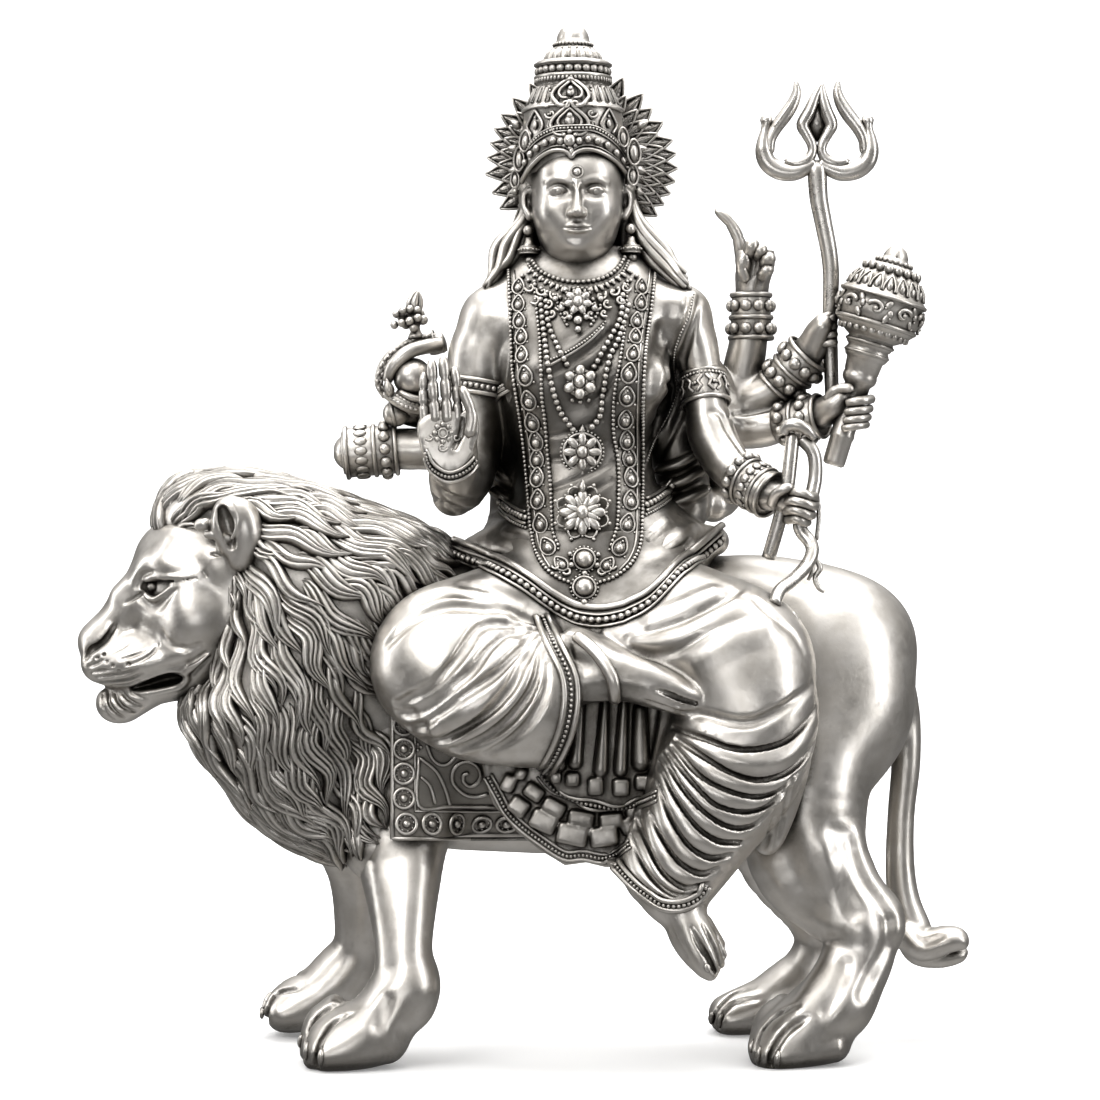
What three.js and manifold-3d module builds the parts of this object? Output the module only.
// A goddess seated side-saddle on a standing lion, cast metal with an antique silver finish.
// Millimetres, +Z up. The goddess faces -Y, the lion faces -X, and the four paws stand on Z = 0.
import * as THREE from "three";
import { mergeVertices } from "three/addons/utils/BufferGeometryUtils.js";
import Module from "manifold-3d";

const wasm = await Module();
wasm.setup();

// ---------------------------------------------------------------- driving dimensions
// Stations are given on a layout sheet seen from the front: x to the right, y down, one unit = UNIT on
// the plane Y = 0, and depth in millimetres, minus towards the viewer.
const UNIT = 0.29;
const SHEET_X = 550, SHEET_Y = 550; // middle of the sheet
const EYE_Z = 144.6; // height of the sheet's middle line above the soles
const EYE_D = 1000; // the sheet narrows towards a viewpoint this far in front of Y = 0
const SHIFT_X = 5.27, SHIFT_Y = 6.53; // brings the middle of the outline to the origin
const GAP = 0.5; // clearance between separate pieces
const LEAST_EDGE = 0.45; // slivers along the joins shorter than this are closed up
const BARREL_HALF = 31; // half width of the lion's barrel
const MANE_HALF = 39; // half width of the mane
const LION_YAW = 0.05; // the lion's nose comes this much towards the viewer per unit length
const MANE_RIDGES = 11, MANE_RELIEF = 0.055; // ridges of hair round the mane, and their relief
const FORELOCKS = 5; // free locks round the face on each side
const HALO_LEAVES = 20, HALO_R = 20.5, LEAF = 7.6;
const FOLDS = 4; // drapery folds over each knee
const PLEATS = 3; // upright pleats between the knees
const SILVER = 0xaaa8a4;

const P = (x, y, d = 0) => {
  const s = (UNIT * (EYE_D + d)) / EYE_D;
  return new THREE.Vector3((x - SHEET_X) * s + SHIFT_X, d + SHIFT_Y, EYE_Z - (y - SHEET_Y) * s);
};
const R = (r, d = 0) => (r * UNIT * (EYE_D + d)) / EYE_D;
const mid = (x) => LION_YAW * (x - 560) * UNIT; // the lion's middle plane
const lerp = (a, b, t) => a + (b - a) * t;

// ---------------------------------------------------------------- solids
const toIndexed = (g) => {
  g.deleteAttribute("normal");
  g.deleteAttribute("uv");
  return mergeVertices(g, 1e-4);
};
const toSolid = (g) => {
  g = g.index ? g.toNonIndexed() : g.clone();
  const only = new THREE.BufferGeometry().setAttribute("position", g.getAttribute("position"));
  const m = mergeVertices(only, 1e-4);
  return new wasm.Manifold(
    new wasm.Mesh({
      numProp: 3,
      vertProperties: new Float32Array(m.attributes.position.array),
      triVerts: new Uint32Array(m.index.array),
    }),
  );
};
const join = (list) => {
  while (list.length > 1) {
    const next = [];
    for (let i = 0; i < list.length; i += 2) next.push(i + 1 < list.length ? list[i].add(list[i + 1]) : list[i]);
    list = next;
  }
  return list[0];
};

// A closed limb through stations [x, y, depth, r, rDepth]: smooth curve, oval sections, domed ends.
function limb(stations, { sides = 7, steps = 1, dome = 0.8, flatEnd = false, flatStart = false, grow = 0 } = {}) {
  const pts = stations.map(([x, y, d]) => P(x, y, d));
  const ra = stations.map(([, , d, r]) => R(r, d) + grow);
  const rb = stations.map(([, , d, r, q]) => (q === undefined ? R(r, d) : q) + grow);
  const curve = new THREE.CatmullRomCurve3(pts, false, "centripetal");
  const n = (pts.length - 1) * steps;
  const at = (arr, u) => {
    const f = u * (arr.length - 1), i = Math.min(arr.length - 2, Math.floor(f));
    return lerp(arr[i], arr[i + 1], f - i);
  };
  const rings = [];
  let lastB = new THREE.Vector3(0, 1, 0);
  const ring = (c, T, a, b) => {
    const B = new THREE.Vector3(0, 1, 0).addScaledVector(T, -T.y);
    if (B.length() < 0.35) B.copy(lastB).addScaledVector(T, -lastB.dot(T));
    B.normalize();
    if (B.dot(lastB) < 0) B.negate();
    lastB = B.clone();
    const N = new THREE.Vector3().crossVectors(B, T).normalize();
    rings.push(Array.from({ length: sides }, (_, k) => {
      const w = (2 * Math.PI * (k + 0.5)) / sides;
      return c.clone().addScaledVector(N, a * Math.cos(w)).addScaledVector(B, b * Math.sin(w));
    }));
  };
  const T0 = curve.getTangent(0), T1 = curve.getTangent(1);
  const e0 = Math.min(ra[0], rb[0]) * dome, e1 = Math.min(ra.at(-1), rb.at(-1)) * dome;
  const start = pts[0].clone().addScaledVector(T0, flatStart ? 0 : -e0);
  for (let i = 0; i <= n; i++) ring(curve.getPoint(i / n), curve.getTangent(i / n), at(ra, i / n), at(rb, i / n));
  const end = pts.at(-1).clone().addScaledVector(T1, flatEnd ? 0 : e1);
  const pos = [], tri = (a, b, c) => pos.push(...a.toArray(), ...b.toArray(), ...c.toArray());
  for (let k = 0; k < sides; k++) {
    const q = (k + 1) % sides;
    tri(start, rings[0][q], rings[0][k]);
    for (let i = 0; i + 1 < rings.length; i++) {
      tri(rings[i][k], rings[i][q], rings[i + 1][q]);
      tri(rings[i][k], rings[i + 1][q], rings[i + 1][k]);
    }
    tri(end, rings.at(-1)[k], rings.at(-1)[q]);
  }
  return toSolid(new THREE.BufferGeometry().setAttribute("position", new THREE.Float32BufferAttribute(pos, 3)));
}
// An oval lump at sheet x, y, depth, with half sizes in sheet units and its depth half size in mm.
function lump(x, y, d, rx, ry, rd, { turn = 0, w = 10, h = 6 } = {}) {
  const g = new THREE.SphereGeometry(1, w, h);
  const c = P(x, y, d);
  g.applyMatrix4(new THREE.Matrix4().makeScale(R(rx, d), R(ry, d), rd));
  g.applyMatrix4(new THREE.Matrix4().makeRotationX(Math.PI / 2));
  g.applyMatrix4(new THREE.Matrix4().makeRotationY((turn * Math.PI) / 180));
  g.applyMatrix4(new THREE.Matrix4().makeTranslation(c.x, c.y, c.z));
  return toSolid(g);
}
// A lock, leaf or tapering fold: a long eight-faced spindle from a to b, wide across, thin along out.
function spindle(a, b, out, width, thick, at = 0.4) {
  const T = new THREE.Vector3().subVectors(b, a), L = T.length();
  T.normalize();
  const N = out.clone().addScaledVector(T, -out.dot(T)).normalize(), W = new THREE.Vector3().crossVectors(N, T);
  const g = new THREE.OctahedronGeometry(1, 0);
  const m = new THREE.Matrix4().makeBasis(W.multiplyScalar(width / 2), N.multiplyScalar(thick / 2), T.clone().multiplyScalar(L / 2));
  const p = g.getAttribute("position");
  for (let i = 0; i < p.count; i++) if (Math.abs(p.getZ(i)) < 0.5) p.setZ(i, 2 * at - 1); // widest part along its length
  g.applyMatrix4(m);
  const c = a.clone().addScaledVector(T, L / 2);
  g.applyMatrix4(new THREE.Matrix4().makeTranslation(c.x, c.y, c.z));
  return toSolid(g);
}
// A turned form: profile of [radius, height] about the axis from a to b, in millimetres.
function turned(a, b, profile, sides = 10) {
  const g = new THREE.LatheGeometry(profile.map(([r, h]) => new THREE.Vector2(r, h)), sides);
  const dir = new THREE.Vector3().subVectors(b, a).normalize();
  const q = new THREE.Quaternion().setFromUnitVectors(new THREE.Vector3(0, 1, 0), dir);
  g.applyMatrix4(new THREE.Matrix4().compose(a, q, new THREE.Vector3(1, 1, 1)));
  return toSolid(g);
}
const cord = (st, o = {}) => limb(st, { sides: 4, ...o });

const parts = [];
const put = (...s) => parts.push(...s);

// ---------------------------------------------------------------- lion: body
put(limb([[400, 690, mid(400), 142, 29], [470, 703, mid(470), 148, BARREL_HALF], [620, 706, mid(620), 148, BARREL_HALF],
  [740, 700, mid(740), 146, 30], [800, 692, mid(800), 112, 29], [846, 690, mid(846), 62, 22]], { sides: 14 }));
const MANE = [[308, 668, 124, 184, MANE_HALF], [236, 562, 82, 90, 31], [398, 645, 88, 128, 35]];
// The mane's great lump, its surface pushed out and in where the locks run back from the face.
{
  const [x, y, rx, ry, rd] = MANE[0];
  const g = toIndexed(new THREE.SphereGeometry(1, 2 * MANE_RIDGES, 13));
  const p = g.getAttribute("position");
  for (let i = 0; i < p.count; i++) {
    const v = new THREE.Vector3().fromBufferAttribute(p, i), w = Math.atan2(v.z, v.x), row = Math.round((Math.acos(v.y) / Math.PI) * 13);
    const ridge = Math.abs(v.y) > 0.95 ? 0 : Math.cos(MANE_RIDGES * w + Math.PI * (row >> 1));
    v.multiplyScalar(1 + MANE_RELIEF * ridge);
    p.setXYZ(i, v.x, v.y, v.z);
  }
  g.applyMatrix4(new THREE.Matrix4().makeRotationZ(Math.PI / 2)); // the ridges start at the face and run back
  g.applyMatrix4(new THREE.Matrix4().makeScale(R(rx), rd, R(ry)));
  g.applyMatrix4(new THREE.Matrix4().makeTranslation(...P(x, y, mid(x)).toArray()));
  put(toSolid(g));
}
for (const [x, y, rx, ry, rd] of MANE.slice(1)) put(lump(x, y, mid(x), rx, ry, rd, { w: 12, h: 6 }));
// head: skull, muzzle, chin, brows, cheeks, ears
put(lump(196, 596, mid(196), 62, 82, 22, { w: 12, h: 8 }));
put(limb([[172, 612, mid(172), 80, 20], [132, 627, mid(132), 57, 15], [108, 645, mid(108), 37, 12], [99, 650, mid(99), 25, 9]], { sides: 10, dome: 0.6 }));
put(limb([[178, 682, mid(178), 22, 13], [140, 702, mid(140), 16, 9], [121, 708, mid(121), 12, 7]], { sides: 8 }));
for (const s of [-1, 1]) {
  put(spindle(P(118, 580, mid(118) + s * 9), P(200, 556, mid(200) + s * 22), new THREE.Vector3(-0.5, s, 0.6), 12, 8));
  put(limb([[226, 556, mid(226) + s * 20, 22, 6], [238, 530, mid(238) + s * 24, 26, 5], [236, 508, mid(236) + s * 26, 15, 4]], { sides: 6 }));
}
// legs: [x, y, depth, r, rDepth]
const LEGS = [
  [[406, 730, -14, 44, 12], [405, 790, -21, 60, 16], [400, 862, -25, 45, 14], [403, 905, -28, 34, 12], [404, 950, -31, 27, 10.5], [401, 984, -32, 32, 11.5], [384, 1012, -33, 39, 13], [352, 1036, -35, 36, 13.5]],
  [[352, 750, 8, 40, 12], [352, 806, 15, 54, 15], [360, 870, 20, 34, 12], [358, 915, 23, 26, 10.5], [352, 955, 26, 25, 10], [336, 984, 28, 32, 12], [304, 1004, 29, 30, 13]],
  [[832, 636, 2, 30, 10], [826, 700, -8, 68, 18], [804, 772, -14, 67, 18], [806, 850, -18, 62, 16], [850, 912, -21, 46, 12.5], [858, 948, -23, 37, 11], [848, 982, -25, 35, 11], [834, 1010, -27, 37, 12], [800, 1037, -28, 35, 13.5]],
  [[800, 690, 14, 40, 10], [790, 760, 20, 66, 16], [786, 840, 28, 56, 15], [818, 908, 32, 36, 12], [822, 945, 33, 29, 10], [812, 972, 34, 31, 10.5], [790, 996, 35, 32, 12], [754, 1006, 36, 28, 13]],
];
const PAWS = [[346, 1044, -35, 44], [304, 1008, 29, 42], [800, 1044, -28, 50], [755, 1010, 36, 46]]; // [x, y, depth, half length]
for (const [x, y, d, r] of PAWS) put(lump(x, y, d, r, 36, 15, { w: 8, h: 6 }));
for (const st of LEGS) put(limb(st, { sides: 8 }));
// four toes on each paw
for (const [x, y, d] of PAWS.map(([px, py, pd, pr]) => [px - pr * 0.48, py - 4, pd]))
  for (let k = -1.5; k <= 1.5; k++) {
    const dd = d + k * 6.5, xx = x + Math.abs(k) * 4;
    put(spindle(P(xx - 28, y + 12, dd), P(xx + 44, y - 14, dd), new THREE.Vector3(0, 0, 1), 7.6, 13, 0.34));
  }
// tail with its two-lobed tuft
put(limb([[800, 590, 12, 18], [862, 626, 20, 16], [902, 690, 22, 15], [904, 760, 22, 15], [900, 840, 22, 14], [903, 895, 22, 13], [925, 936, 20, 13]], { sides: 6 }));
put(limb([[915, 932, 20, 16, 7], [944, 938, 15, 14, 6], [960, 940, 12, 9, 5]], { sides: 6 }));
put(limb([[906, 935, 22, 12, 6], [932, 956, 23, 15, 6], [958, 956, 22, 8, 4]], { sides: 6 }));

// free locks round the face, from the crown of the head down to the throat
for (const side of [-1, 1])
  for (let k = 0; k < FORELOCKS; k++) {
    const v = k / (FORELOCKS - 1), x = lerp(176, 214, v), y = lerp(492, 716, v), d = lerp(16, 30, Math.sin(Math.PI * v));
    const dx = lerp(80, 34, v), dy = lerp(-6, 92, v);
    put(spindle(P(x, y, mid(x) + side * d * 0.75), P(x + dx, y + dy, mid(x + dx) + side * d), new THREE.Vector3(0, side, 0.2), 11, 8));
  }

// ---------------------------------------------------------------- saddle cloth, with a raised border at each end
{
  const edge = (x, r) => [x, 704, mid(x), r, BARREL_HALF + 1.1 + (r - 152) * UNIT];
  const wrap = limb([edge(390, 154), edge(398, 154), edge(401, 151), edge(680, 151), edge(683, 154), edge(690, 154)], { sides: 14, flatStart: true, flatEnd: true });
  const below = new THREE.BoxGeometry(600, 200, 200);
  below.translate(0, 0, P(0, 838, -32).z - 100);
  put(wrap.subtract(toSolid(below)));
}

// ---------------------------------------------------------------- goddess: trunk, neck, head
put(limb([[594, 600, -6, 120, 28], [592, 560, -6, 112, 27], [586, 510, -5, 78, 20], [583, 460, -5, 72, 18.5], [580, 400, -6, 84, 20],
  [580, 345, -6, 100, 20], [579, 306, -3, 92, 16], [577, 282, -2, 48, 11], [577, 256, -3, 28, 9]], { sides: 10 }));
put(limb([[577, 258, -11, 24, 9], [577, 244, -10, 38, 13], [577, 222, -9, 45, 15.5], [577, 196, -8, 47, 16], [577, 160, -7, 48, 16]], { sides: 10 })); // head
put(spindle(P(577, 186, -24.5), P(577, 226, -25.5), new THREE.Vector3(0, -1, 0), 4.6, 5, 0.8)); // nose
// crown, turned
const crownBase = P(573, 168, -8);
put(turned(crownBase, crownBase.clone().add(new THREE.Vector3(0, 0, 1)), [[0, -1], [14.6, -1], [15.4, 6], [14.6, 13], [10.6, 22.5],
  [11.6, 24.6], [9.8, 30.2], [7.8, 33], [5.4, 35], [5.4, 37], [0, 41.4]], 11));
// leaf halo standing behind the head: one plate cut into pointed leaves
{
  const outline = new THREE.Shape(), at = (r, w) => [r * Math.cos(w), r * Math.sin(w)];
  outline.moveTo(...at(HALO_R * 0.7, THREE.MathUtils.degToRad(-90)));
  for (let k = 0; k < HALO_LEAVES; k++) {
    const w = THREE.MathUtils.degToRad(lerp(-38, 218, k / (HALO_LEAVES - 1))), half = THREE.MathUtils.degToRad(128 / (HALO_LEAVES - 1));
    outline.lineTo(...at(HALO_R, w - half));
    outline.lineTo(...at(HALO_R + LEAF, w));
  }
  const g = new THREE.ExtrudeGeometry(outline, { depth: 2.6, bevelEnabled: false });
  g.applyMatrix4(new THREE.Matrix4().makeRotationX(Math.PI / 2));
  const c = P(582, 165, 5);
  g.applyMatrix4(new THREE.Matrix4().makeTranslation(c.x, c.y + 1.3, c.z));
  put(toSolid(g));
}
// ears with drops, and the hair on the shoulders and down the back
for (const s of [-1, 1]) {
  put(limb([[577 + s * 53, 196, -6, 7, 3], [577 + s * 53, 226, -7, 8, 3], [577 + s * 53, 256, -8, 9, 3]], { sides: 5 }));
  put(limb([[577 + s * 46, 208, 2, 14, 6], [577 + s * 60, 248, 2, 15, 5], [577 + s * 88, 284, 1, 10, 4]], { sides: 6 }));
}
put(limb([[577, 196, 4, 46, 9], [577, 270, 7, 48, 8], [577, 350, 12, 52, 7], [577, 440, 14, 26, 4]], { sides: 8 }));

// ---------------------------------------------------------------- goddess: legs in their drapery
put(limb([[556, 598, -18, 66, 20], [470, 632, -30, 60, 19], [436, 664, -36, 62, 20], [470, 690, -42, 76, 20], [520, 700, -44, 74, 18], [560, 706, -44, 70, 14]], { sides: 10, flatEnd: true }));
put(limb([[560, 672, -48, 30, 9], [600, 664, -51, 24, 7.5], [632, 676, -53, 24, 8], [662, 686, -53, 20, 6.5], [688, 696, -52, 13, 4.5]], { sides: 7 })); // crossed foot
put(limb([[640, 598, -16, 70, 22], [712, 622, -32, 62, 20], [752, 660, -40, 66, 19], [748, 712, -43, 74, 18], [722, 776, -44, 78, 17], [692, 842, -46, 54, 14], [678, 897, -49, 28, 9]], { sides: 10 }));
put(limb([[680, 898, -50, 25, 7.5], [692, 930, -52, 24, 7.5], [706, 955, -54, 18, 6], [714, 968, -54, 10, 4.5]], { sides: 7 })); // hanging foot
// folds swept round each knee
for (let k = 0; k < FOLDS; k++) {
  const u = k / (FOLDS - 1);
  put(cord([[540, lerp(622, 650, u), -60, 4, 2], [lerp(478, 500, u), lerp(636, 724, u), lerp(-51, -62, u), 8, 3], [lerp(408, 474, u), lerp(668, 756, u), lerp(-48, -54, u), 6, 2.4]]));
  put(cord([[lerp(664, 650, u), lerp(706, 800, u), -52, 5, 2.4], [lerp(724, 690, u), lerp(736, 838, u), -61, 8, 3], [lerp(802, 726, u), lerp(690, 836, u), -49, 5, 2.4]]));
}
// upright pleats and the stepped hems between the knees
for (let k = 0; k < PLEATS; k++)
  put(limb([[588 + 18 * k, 650, -36, 9, 6], [586 + 19 * k, 730, -38, 11, 6], [584 + 20 * k, 792, -39, 12, 4.5]], { sides: 5, dome: 0.3 }));
put(limb([[512, 782, -34, 26, 3.4], [556, 814, -36, 36, 4], [606, 826, -37, 36, 4], [650, 812, -37, 30, 4]], { sides: 6 }));
put(cord([[487, 772, -35, 5, 2], [520, 816, -37, 6, 2], [560, 848, -38, 6, 2], [606, 858, -39, 6, 2], [640, 846, -38, 6, 2]]));
put(cord([[548, 782, -40, 5, 2], [590, 804, -42, 6, 2], [648, 804, -42, 5, 2]]));
// hip band, shin hem, ankle hem
put(cord([[452, 552, -22, 8, 3], [518, 584, -40, 8, 3], [570, 616, -46, 8, 3], [606, 622, -48, 8, 3], [660, 592, -44, 8, 3], [731, 534, -20, 8, 3]]));
put(cord([[542, 622, -59, 8, 3], [570, 664, -61, 9, 3], [574, 712, -60, 9, 3], [546, 778, -56, 8, 3]]));
put(cord([[652, 886, -50, 8, 3], [674, 905, -60, 8, 3], [702, 894, -50, 8, 3]]));

// ---------------------------------------------------------------- eight arms, shoulder to wrist
// Each arm's radius steps out where a bracelet or armlet sits: [x, y, depth, r, rDepth].
const ARMS = [
  [[492, 322, -4, 34, 11], [478, 372, -4, 32, 10], [474, 430, -6, 33, 10], [462, 478, -14, 34, 10], [454, 483, -32, 24, 7], [453, 474, -38, 25, 7.5], [453, 462, -41, 21, 6]],
  [[690, 322, -4, 29, 10], [701, 370, -6, 26, 8.6], [702, 373, -6, 30, 9.8], [707, 399, -7, 30, 9.8], [708, 402, -7, 26, 8.4], [716, 438, -10, 26, 8], [728, 466, -16, 22, 7], [744, 482, -20, 22, 6.6], [746, 483, -21, 26, 7.6], [772, 494, -26, 24, 7], [784, 498, -27, 15, 5]],
  [[676, 352, 4, 28, 9], [726, 400, 12, 25, 8], [744, 372, 12, 20, 6.6], [750, 340, 12, 20, 6.2], [750, 336, 12, 23, 6.8], [752, 294, 12, 20, 6.2], [752, 288, 12, 15, 4.8]],
  [[690, 380, 4, 28, 8], [736, 404, 10, 23, 7], [772, 386, 7, 20, 6], [775, 384, 7, 27, 7.4], [808, 356, 3, 23, 6.6], [818, 344, 2, 15, 5]],
  [[690, 410, 4, 28, 8], [742, 428, 8, 24, 7], [786, 422, 3, 19, 6], [789, 421, 3, 24, 6.8], [818, 414, -2, 21, 6], [834, 408, -3, 15, 5]],
  [[520, 400, 4, 34, 9], [460, 440, 8, 24, 7.5], [398, 449, 10, 21, 6.5], [395, 450, 10, 27, 7.9], [344, 453, 10, 27, 7.9]],
  [[520, 372, 6, 30, 8], [468, 410, 16, 24, 7.5], [440, 420, 16, 20, 6.5], [420, 406, 12, 16, 5]],
  [[676, 420, 6, 30, 8], [714, 452, 12, 24, 7], [724, 492, 14, 19, 6], [714, 506, 8, 16, 5]],
];
for (const st of ARMS) put(limb(st, { sides: 6, flatEnd: st === ARMS[5] }));

// ---------------------------------------------------------------- hands
const finger = (...st) => put(limb(st, { sides: 4, dome: 0.7 }));
// open right palm
put(limb([[452, 468, -41, 22, 5], [448, 444, -43, 28, 4.6], [446, 414, -44, 25, 4]], { sides: 8 }));
for (const [x0, x1, tip] of [[428, 422, 386], [440, 432, 364], [451, 443, 358], [461, 454, 369]]) finger([x0, 418, -44, 7, 2.2], [(x0 + x1) / 2, 394, -45, 6, 2], [x1, tip + 4, -45, 4.6, 1.6]);
finger([468, 432, -45, 8, 2.6], [473, 410, -47, 7, 2.2], [463, 390, -48, 5, 1.7]);
// closed hands round what they hold: knuckles one under the other, [x, y, depth, r, knuckles]
for (const [x, y, d, r, n] of [[798, 506, -29, 25, 4], [830, 336, -2, 19, 3], [848, 404, -6, 24, 4]]) {
  const st = [];
  for (let k = 0; k < 2 * n - 1; k++) {
    const t = k / (2 * n - 2);
    st.push([x + r * 0.5 * (t - 0.5), y + r * 1.7 * (t - 0.5), d, r * (k % 2 ? 0.8 : 0.95), r * UNIT * (k % 2 ? 0.68 : 0.9)]);
  }
  put(limb(st, { sides: 6, dome: 0.4 }));
}
// rear left hand with a raised forefinger
put(limb([[752, 292, 12, 16, 5], [754, 268, 11, 19, 5], [759, 250, 10, 17, 4.6]], { sides: 7 }));
finger([745, 254, 9, 8, 2.6], [738, 232, 7, 7, 2.2], [717, 211, 6, 4, 1.4]);
for (let k = 0; k < 3; k++) finger([748 + 8 * k, 248 + 5 * k, 6, 6, 2], [756 + 8 * k, 262 + 3 * k, 4, 5, 1.8]);

// ---------------------------------------------------------------- what the hands hold
// mace, turned, leaning to the right
const maceFoot = P(834, 466, -5), maceTop = P(900, 247, -8), ML = maceFoot.distanceTo(maceTop);
put(turned(maceFoot, maceTop, [[0, 0], [4, 0], [3.8, 0.22], [5, 0.5], [9.6, 0.57], [12.9, 0.66], [13.1, 0.745], [10.8, 0.84], [6.6, 0.93], [2.8, 0.96], [0, 1]]
  .map(([r, h]) => [r, h * ML]), 10));
// water pot in its ring, with a beaded bud above
put(lump(414, 375, 6, 21, 21, 6.2, { w: 8, h: 6 }));
put(limb([[441, 343, 8, 11, 4], [410, 342, 7, 10, 4], [384, 366, 6, 9, 4], [386, 392, 6, 9, 4], [414, 410, 8, 9, 4]], { sides: 5 }));
put(limb([[420, 400, 10, 16, 5], [398, 414, 6, 15, 5]], { sides: 6 }));
put(limb([[416, 346, 7, 6, 2], [414, 326, 7, 13, 4], [417, 300, 7, 6, 2]], { sides: 6 }));
for (let k = 0; k < 5; k++) put(lump(394 + 7 * k, 324 - 4 * Math.abs(k - 2), 4 + (k % 2) * 2, 6, 6, 1.8, { w: 4, h: 2 }));

// ---------------------------------------------------------------- jewellery on the chest
const chest = (y) => -6 - lerp(19.6, 18.5, Math.min(1, Math.abs(y - 400) / 120));
for (const s of [-1, 1])
  put(cord([[58, 272, -17], [58, 360, -24.5], [52, 450, -23.6], [50, 530, -26], [26, 578, -36], [0, 592, -44]].map(([x, y, d]) => [583 + s * x, y, d, 13, 2.6])));
for (const [x, y, d, r] of [[577, 300, -21, 22], [581, 384, -26.5, 17], [582, 453, -25, 20], [583, 513, -26.5, 24], [583, 561, -36, 11.5], [583, 590, -46, 11]])
  put(lump(x, y, d, r, r, 2.8, { w: 6, h: 3 }));
put(cord([[540, 268, -12, 6, 2], [578, 286, -15.5, 6, 2], [618, 262, -12, 6, 2]]));
for (const s of [-1, 1]) put(cord([[578 + s * 36, 290, -18, 4, 1.6], [578 + s * 26, 360, chest(360), 4, 1.6], [580, 404, chest(404), 4, 1.6]]));
put(limb([[604, 322, -20, 10, 3], [572, 348, -25, 10, 3], [540, 370, -24, 8, 3]], { sides: 5 })); // edge of the wrap across the chest

// ---------------------------------------------------------------- trident and bow, pieces of their own
const trident = (grow = 0) => {
  const o = { sides: 6, grow };
  const shaft = limb([[832, 398, 2, 6.4, 1.9], [830, 330, 0, 7, 2.1], [830, 274, 0, 8, 2.3], [822, 215, 0, 8.4, 2.4], [817, 160, 0, 9, 2.6]], o);
  const prong = (s) => [
    limb([[817, 166, 0, 13, 2.4], [817 + s * 34, 176, 0, 12, 2.5], [817 + s * 52, 160, 0, 9, 2.3], [817 + s * 55, 138, 0, 7, 2], [817 + s * 53, 124, 0, 5, 1.6]], o),
    limb([[817 + s * 48, 132, 0, 7, 1.8], [817 + s * 30, 116, 0, 8, 2], [817 + s * 24, 100, 0, 6, 1.7], [817 + s * 22, 84, 0, 3, 1.2]], o),
  ];
  const point = turned(P(818, 164, 0), P(820, 82, 0), [[0, 0], [2.6, 2], [2.2, 7], [5, 12], [2.2, 17], [1.2, 23], [0, 23.8]].map(([r, h]) => [r + (r ? grow : 0), h]), 6);
  return join([shaft, ...prong(-1), ...prong(1), point]);
};
const bow = (grow = 0) =>
  join([
    limb([[800, 436, -27, 7, 2], [814, 450, -28, 7, 2], [815, 478, -28, 7, 2], [806, 506, -28, 6.6, 2], [802, 532, -29, 7, 2], [812, 552, -32, 7, 2], [800, 574, -37, 7, 2], [780, 590, -43, 7, 2], [775, 603, -46, 7, 2]], { sides: 6, grow, flatEnd: true }),
    limb([[792, 434, -27, 7, 2], [787, 489, -28, 7, 2], [778, 527, -27, 7, 2], [769, 554, -26, 7, 2]], { sides: 6, grow }),
    limb([[786, 432, -27, 5, 1.8], [798, 426, -28, 5, 1.8], [812, 440, -28, 5, 1.8]], { sides: 5, grow }),
  ]);
put(limb([[774.5, 609, -46.6, 8, 2.4], [772, 624, -47, 9, 2.6]], { sides: 6, flatStart: true })); // seat of the bow's foot on the thigh
put(lump(760, 625, -40, 34, 24, 7, { w: 8, h: 6 }));

// ---------------------------------------------------------------- the whole
const soles = new THREE.BoxGeometry(600, 400, 60);
soles.translate(0, 0, -30);
const casting = join([...parts]).subtract(toSolid(soles)).subtract(trident(GAP)).subtract(bow(GAP));

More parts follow.
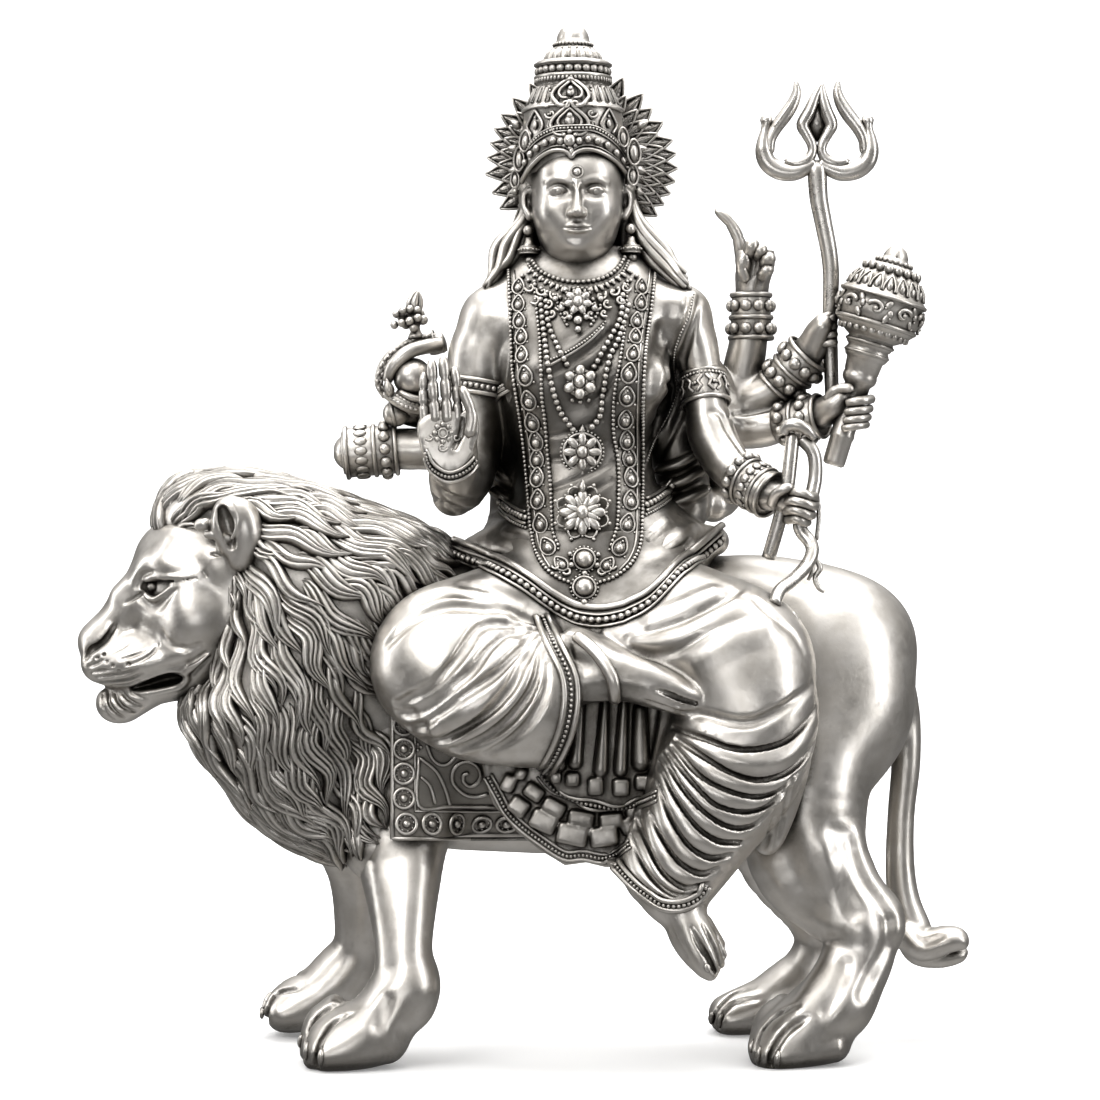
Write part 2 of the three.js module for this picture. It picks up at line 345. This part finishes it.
// Closes up the edges shorter than `least`, one by one, wherever that keeps the surface closed and no face turns over.
function closeSlivers(points, tris, least) {
  const pos = points.map((p) => p.clone()), faces = tris.map((t) => [...t]), alive = faces.map(() => true);
  const around = pos.map(() => new Set());
  faces.forEach((f, i) => f.forEach((v) => around[v].add(i)));
  const ringOf = (v) => {
    const out = new Set();
    for (const i of around[v]) for (const w of faces[i]) if (w !== v) out.add(w);
    return out;
  };
  const normal = (a, b, c) => new THREE.Vector3().subVectors(b, a).cross(new THREE.Vector3().subVectors(c, a));
  const flat = (p) => Math.abs(p.z) < 1e-4;
  const collapse = (a, b) => {
    const na = ringOf(a), nb = ringOf(b), common = [...na].filter((v) => nb.has(v));
    if (common.length !== 2) return false;
    let to;
    if (flat(pos[a]) !== flat(pos[b])) to = (flat(pos[a]) ? pos[a] : pos[b]).clone();
    else to = pos[a].clone().lerp(pos[b], 0.5);
    for (const v of [a, b])
      for (const i of around[v]) {
        const f = faces[i];
        if (f.includes(a) && f.includes(b)) continue;
        const before = normal(...f.map((w) => pos[w])), after = normal(...f.map((w) => (w === v ? to : pos[w])));
        if (after.length() < 1e-3 || (before.length() > 1e-3 && before.dot(after) < 0.5 * before.length() * after.length())) return false;
      }
    for (const i of [...around[b]]) {
      const f = faces[i];
      if (f.includes(a)) {
        alive[i] = false;
        for (const w of f) around[w].delete(i);
      } else {
        f[f.indexOf(b)] = a;
        around[a].add(i);
      }
    }
    around[b].clear();
    pos[a] = to;
    return true;
  };
  for (let pass = 0; pass < 6; pass++) {
    const edges = [];
    faces.forEach((f, i) => {
      if (alive[i]) for (let k = 0; k < 3; k++) {
        const u = f[k], v = f[(k + 1) % 3];
        if (u < v && pos[u].distanceTo(pos[v]) < least) edges.push([u, v]);
      }
    });
    edges.sort((p, q) => pos[p[0]].distanceTo(pos[p[1]]) - pos[q[0]].distanceTo(pos[q[1]]));
    let done = 0;
    for (const [u, v] of edges) if (around[u].size && around[v].size && pos[u].distanceTo(pos[v]) < least && ringOf(u).has(v) && collapse(u, v)) done++;
    if (!done) break;
  }
  return [pos, faces.filter((_, i) => alive[i])];
}
const toMesh = (name, s, look) => {
  const body = s.decompose().sort((a, b) => b.volume() - a.volume())[0];
  const m = body.getMesh(), n = m.numProp, raw = [], tris = [];
  for (let i = 0; i < m.numVert; i++) raw.push(new THREE.Vector3(...m.vertProperties.subarray(i * n, i * n + 3)));
  for (let i = 0; i < m.numTri; i++) tris.push([...m.triVerts.subarray(3 * i, 3 * i + 3)]);
  const [pos, faces] = closeSlivers(raw, tris, LEAST_EDGE);
  const g = toIndexed(new THREE.BufferGeometry().setAttribute("position", new THREE.Float32BufferAttribute(faces.flatMap((f) => f.flatMap((v) => pos[v].toArray())), 3)));
  g.computeVertexNormals();
  const mesh = new THREE.Mesh(g, new THREE.MeshStandardMaterial({ name, ...look }));
  mesh.name = name;
  return mesh;
};
const group = new THREE.Group();
group.add(toMesh("goddess_on_lion", casting, { color: SILVER, metalness: 1, roughness: 0.32 }));
group.add(toMesh("trident", trident(), { color: SILVER, metalness: 1, roughness: 0.28 }));
group.add(toMesh("bow", bow(), { color: SILVER, metalness: 1, roughness: 0.28 }));

export default group;
